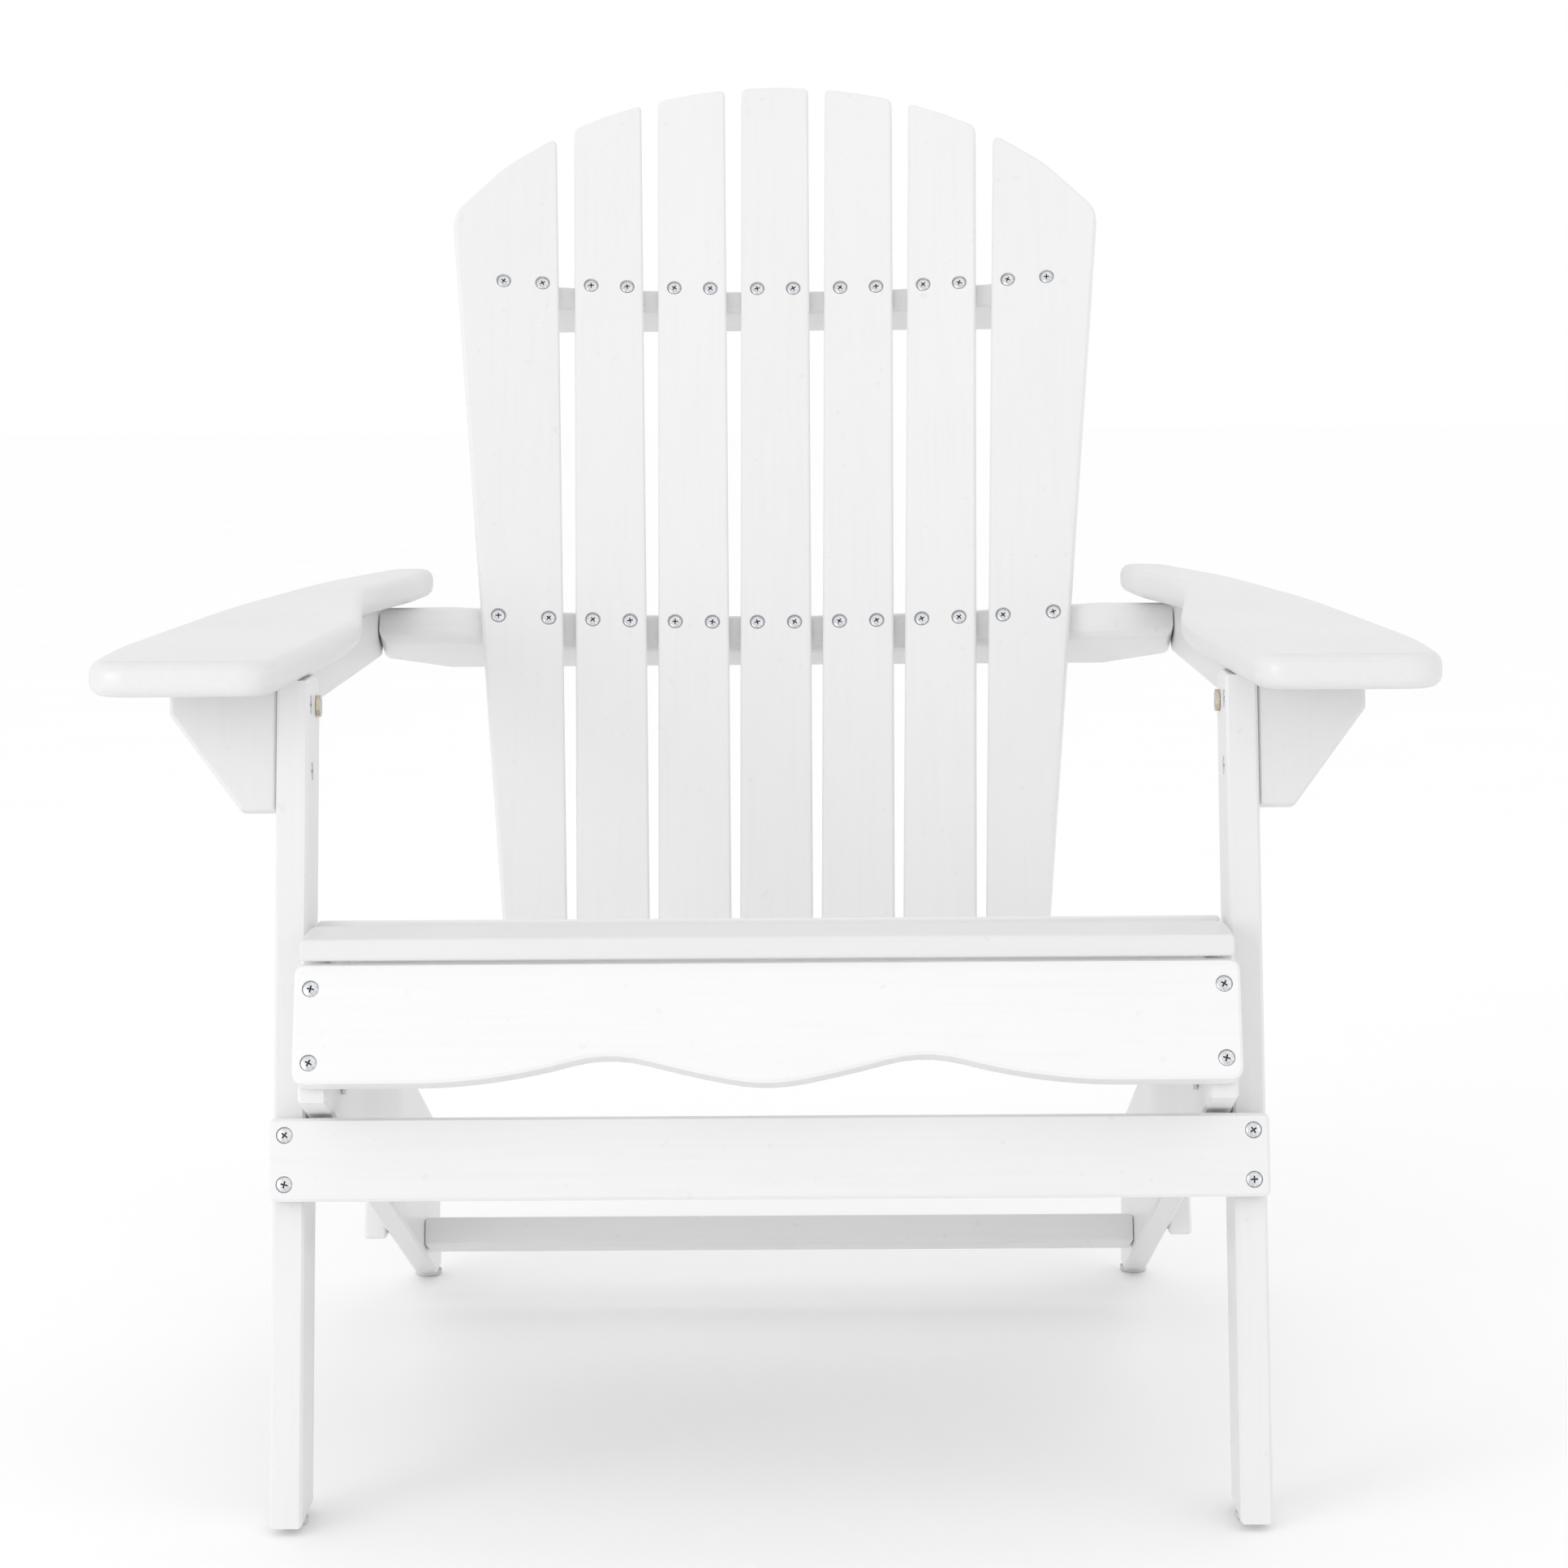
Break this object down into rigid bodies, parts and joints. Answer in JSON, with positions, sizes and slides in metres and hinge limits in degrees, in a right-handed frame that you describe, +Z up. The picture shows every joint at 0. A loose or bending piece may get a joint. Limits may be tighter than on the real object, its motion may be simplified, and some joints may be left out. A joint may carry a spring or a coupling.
{
  "type": "folding adirondack chair",
  "caption": "Low outdoor armchair with a fanned, arch-topped slat back, wide flat arms and a raked slatted seat; its back, legs and arms turn together to fold.",
  "frame": {"origin": "bottom centre of the chair's box, on the floor", "axes": "+X to the right of someone looking at the front of the chair, +Y to the rear, +Z up"},
  "size_m": [0.7402, 0.8497, 0.8422],
  "materials": {
    "frame_paint": "white satin paint over wood",
    "slat_paint": "white satin paint over wood",
    "steel": "zinc plated",
    "zinc": "yellow passivated",
    "glide": "moulded"
  },
  "bodies": {
    "seat": {"stringer_left": "frame_paint", "stringer_right": "frame_paint", "seat_slat_front": "slat_paint", "seat_slat_1": "slat_paint", "seat_slat_2": "slat_paint", "seat_slat_3": "slat_paint", "seat_slat_4": "slat_paint", "seat_slat_5": "slat_paint", "apron": "frame_paint", "rear_cross_rail": "frame_paint", "rear_glide_left": "glide", "rear_glide_right": "glide", "apron_screw_left_upper": "steel", "apron_screw_left_lower": "steel", "apron_screw_right_upper": "steel", "apron_screw_right_lower": "steel"},
    "back": {"back_slat_1": "slat_paint", "back_slat_2": "slat_paint", "back_slat_3": "slat_paint", "back_slat_4": "slat_paint", "back_slat_5": "slat_paint", "back_slat_6": "slat_paint", "back_slat_7": "slat_paint", "upper_back_rail": "frame_paint", "crosspiece": "frame_paint", "bottom_back_rail": "frame_paint", "back_cleat_left": "frame_paint", "back_cleat_right": "frame_paint", "back_bolt_left": "steel", "back_bolt_right": "steel", "back_nut_left": "zinc", "back_nut_right": "zinc"},
    "legs": {"front_leg_left": "frame_paint", "front_leg_right": "frame_paint", "front_stretcher": "frame_paint", "gusset_left": "frame_paint", "gusset_right": "frame_paint", "front_glide_left": "glide", "front_glide_right": "glide", "stretcher_screw_left_upper": "steel", "stretcher_screw_left_lower": "steel", "stretcher_screw_right_upper": "steel", "stretcher_screw_right_lower": "steel", "seat_bolt_left": "steel", "seat_bolt_right": "steel", "seat_nut_left": "zinc", "seat_nut_right": "zinc", "arm_nut_left": "zinc", "arm_nut_right": "zinc"},
    "arms": {"arm_left": "slat_paint", "arm_right": "slat_paint", "arm_rail_left": "frame_paint", "arm_rail_right": "frame_paint", "arm_bolt_left": "steel", "arm_bolt_right": "steel", "rear_bolt_left": "steel", "rear_bolt_right": "steel"}
  },
  "joints": [
    {"name": "back_fold", "type": "hinge", "parent": "seat", "child": "back", "pos_m": [0, 0.06058, 0.10915], "axis": [1, 0, 0], "range_deg": [0, 42]},
    {"name": "leg_fold", "type": "hinge", "parent": "seat", "child": "legs", "pos_m": [0, -0.33853, 0.23891], "axis": [1, 0, 0], "range_deg": [0, 79.4]},
    {"name": "arm_fold", "type": "hinge", "parent": "legs", "child": "arms", "pos_m": [0, -0.28026, 0.448], "axis": [1, 0, 0], "range_deg": [-64, 0]}
  ],
  "couplings": [
    {"joint": "leg_fold", "follows": "back_fold", "ratio": 1.8884},
    {"joint": "arm_fold", "follows": "back_fold", "ratio": -1.523}
  ]
}
